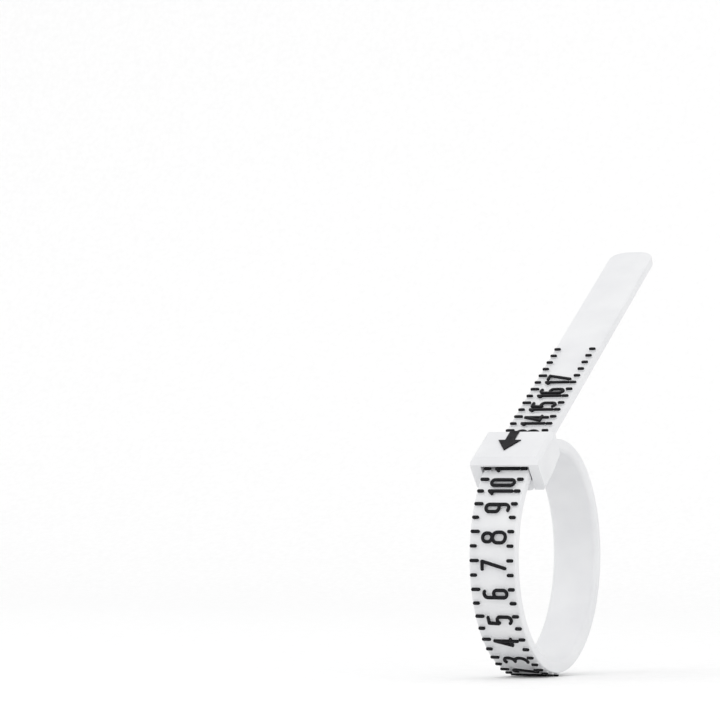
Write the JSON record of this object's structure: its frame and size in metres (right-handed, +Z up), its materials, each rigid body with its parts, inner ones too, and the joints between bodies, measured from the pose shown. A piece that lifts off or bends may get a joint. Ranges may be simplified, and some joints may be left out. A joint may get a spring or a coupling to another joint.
{
  "type": "adjustable ring sizer",
  "caption": "Belt type finger gauge: a thin strap with raised size marks, looped through its own buckle, whose arrow points at the ring size.",
  "frame": {"origin": "centre of the round finger loop, in the middle of the strap's width", "axes": "+X along the finger, across the strap, towards the short tick edge; +Z up; the printed front of the loop faces -Y"},
  "size_m": [0.007, 0.0394, 0.0435],
  "materials": {
    "plastic": "satin moulded white polypropylene",
    "ink": "black ink on raised ribs"
  },
  "bodies": {
    "buckle": {"buckle_frame": "plastic", "size_arrow": "ink", "strap_root": "plastic"},
    "tail": {"strap_tail": "plastic", "spare_ticks": "ink", "marks_12": "ink", "marks_13": "ink", "marks_14": "ink", "marks_15": "ink", "marks_16": "ink", "marks_17": "ink"},
    "link_11": {"link_11": "plastic", "marks_11": "ink"},
    "link_10": {"link_10": "plastic", "marks_10": "ink"},
    "link_9": {"link_9": "plastic", "marks_9": "ink"},
    "link_8": {"link_8": "plastic", "marks_8": "ink", "link_7": "plastic", "marks_7": "ink", "link_6": "plastic", "marks_6": "ink", "link_5": "plastic", "marks_5": "ink"},
    "rear_link_8": {"rear_link_8": "plastic", "rear_link_7": "plastic", "rear_link_6": "plastic"},
    "rear_link_5": {"rear_link_5": "plastic"},
    "rear_link_4": {"rear_link_4": "plastic"},
    "rear_link_3": {"rear_link_3": "plastic"},
    "rear_link_2": {"rear_link_2": "plastic"},
    "rear_link_1": {"rear_link_1": "plastic"},
    "link_1": {"link_1": "plastic", "marks_1": "ink"},
    "link_2": {"link_2": "plastic", "marks_2": "ink"},
    "link_3": {"link_3": "plastic", "marks_3": "ink", "link_4": "plastic", "marks_4": "ink"}
  },
  "joints": [
    {"name": "size_slide", "type": "slide", "parent": "buckle", "child": "tail", "axis": [0, -0.829, -0.5592], "range_m": [0, 0.0166]},
    {"name": "bend_link_11", "type": "hinge", "parent": "tail", "child": "link_11", "pos_m": [0, -0.00597, 0.00885], "axis": [1, 0, 0], "range_deg": [0, 9.44]},
    {"name": "bend_link_10", "type": "hinge", "parent": "link_11", "child": "link_10", "pos_m": [0, -0.0079, 0.00719], "axis": [1, 0, 0], "range_deg": [0, 9.44]},
    {"name": "bend_link_9", "type": "hinge", "parent": "link_10", "child": "link_9", "pos_m": [0, -0.00938, 0.00511], "axis": [1, 0, 0], "range_deg": [0, 9.44]},
    {"name": "bend_link_8", "type": "hinge", "parent": "link_9", "child": "link_8", "pos_m": [0, -0.01032, 0.00275], "axis": [1, 0, 0], "range_deg": [-2.49, 0]},
    {"name": "bend_rear_link_8", "type": "hinge", "parent": "buckle", "child": "rear_link_8", "pos_m": [0, -0.00058, 0.01066], "axis": [1, 0, 0], "range_deg": [-29.42, 0]},
    {"name": "bend_rear_link_5", "type": "hinge", "parent": "rear_link_8", "child": "rear_link_5", "pos_m": [0, 0.00958, 0.00472], "axis": [1, 0, 0], "range_deg": [0, 7.84]},
    {"name": "bend_rear_link_4", "type": "hinge", "parent": "rear_link_5", "child": "rear_link_4", "pos_m": [0, 0.01066, 0.00073], "axis": [1, 0, 0], "range_deg": [0, 5.54]},
    {"name": "bend_rear_link_3", "type": "hinge", "parent": "rear_link_4", "child": "rear_link_3", "pos_m": [0, 0.01013, -0.00337], "axis": [1, 0, 0], "range_deg": [0, 9.14]},
    {"name": "bend_rear_link_2", "type": "hinge", "parent": "rear_link_3", "child": "rear_link_2", "pos_m": [0, 0.0081, -0.00696], "axis": [1, 0, 0], "range_deg": [0, 9.44]},
    {"name": "bend_rear_link_1", "type": "hinge", "parent": "rear_link_2", "child": "rear_link_1", "pos_m": [0, 0.00485, -0.00952], "axis": [1, 0, 0], "range_deg": [0, 9.44]},
    {"name": "bend_link_1", "type": "hinge", "parent": "rear_link_1", "child": "link_1", "pos_m": [0, 0.00087, -0.01064], "axis": [1, 0, 0], "range_deg": [0, 5.74]},
    {"name": "bend_link_2", "type": "hinge", "parent": "link_1", "child": "link_2", "pos_m": [0, -0.00167, -0.01055], "axis": [1, 0, 0], "range_deg": [0, 2.8]},
    {"name": "bend_link_3", "type": "hinge", "parent": "link_2", "child": "link_3", "pos_m": [0, -0.00412, -0.00985], "axis": [1, 0, 0], "range_deg": [0, 5.56]}
  ],
  "couplings": [
    {"joint": "bend_link_11", "follows": "size_slide", "rad_per_m": 9.675},
    {"joint": "bend_link_10", "follows": "size_slide", "rad_per_m": 9.675},
    {"joint": "bend_link_9", "follows": "size_slide", "rad_per_m": 9.674},
    {"joint": "bend_link_8", "follows": "size_slide", "rad_per_m": -2.516},
    {"joint": "bend_rear_link_8", "follows": "size_slide", "rad_per_m": -30.276},
    {"joint": "bend_rear_link_5", "follows": "size_slide", "rad_per_m": 8.025},
    {"joint": "bend_rear_link_4", "follows": "size_slide", "rad_per_m": 5.66},
    {"joint": "bend_rear_link_3", "follows": "size_slide", "rad_per_m": 9.369},
    {"joint": "bend_rear_link_2", "follows": "size_slide", "rad_per_m": 9.674},
    {"joint": "bend_rear_link_1", "follows": "size_slide", "rad_per_m": 9.674},
    {"joint": "bend_link_1", "follows": "size_slide", "rad_per_m": 5.869},
    {"joint": "bend_link_2", "follows": "size_slide", "rad_per_m": 2.838},
    {"joint": "bend_link_3", "follows": "size_slide", "rad_per_m": 5.675}
  ]
}
